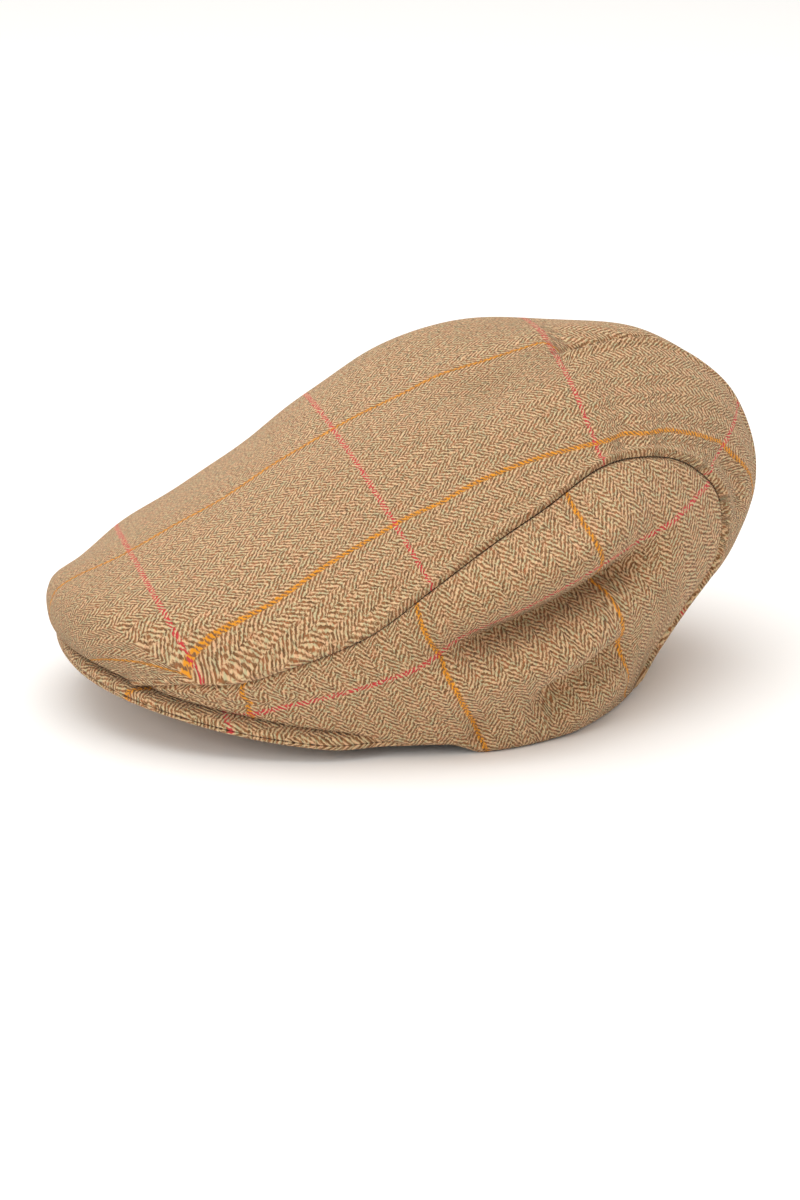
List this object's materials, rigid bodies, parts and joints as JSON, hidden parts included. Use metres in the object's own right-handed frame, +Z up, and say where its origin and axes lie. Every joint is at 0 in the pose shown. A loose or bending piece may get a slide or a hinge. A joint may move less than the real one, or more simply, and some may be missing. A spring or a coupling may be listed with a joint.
{
  "type": "flat cap",
  "caption": "Soft three-panel tweed flat cap with a stiff arched peak, lined crown, sweatband and a press stud that holds the front down on the peak.",
  "frame": {"origin": "bottom centre of the whole cap's box, on the table that it lies on", "axes": "+Z up, -Y towards the peak, +X towards the wearer's left"},
  "size_m": [0.1858, 0.2732, 0.1257],
  "materials": {
    "tweed": "woollen herringbone tweed with a coloured overcheck, slightly hairy",
    "lining": "satin-weave viscose lining with a soft sheen",
    "tape": "stiff woven cotton tape",
    "sweatband": "ribbed cotton band",
    "board": "flat polyethylene peak board, matt",
    "stud": "antiqued brass press stud",
    "label": "blank woven satin label"
  },
  "bodies": {
    "crown": {"top_panel": "tweed", "side_panel_left": "tweed", "side_panel_right": "tweed", "front_facing": "tweed", "lining_top": "lining", "lining_side_left": "lining", "lining_side_right": "lining", "headband_tape": "tape", "sweatband": "sweatband", "stud_ball_half": "stud", "size_label": "label", "care_label": "label"},
    "visor": {"visor_board": "board", "visor_top_cover": "tweed", "visor_under_cover": "tweed", "stud_socket_half": "stud"}
  },
  "joints": [
    {"name": "visor_tilt", "type": "hinge", "parent": "crown", "child": "visor", "pos_m": [0, -0.013, 0.002], "axis": [1, 0, 0], "range_deg": [0, 10]}
  ]
}
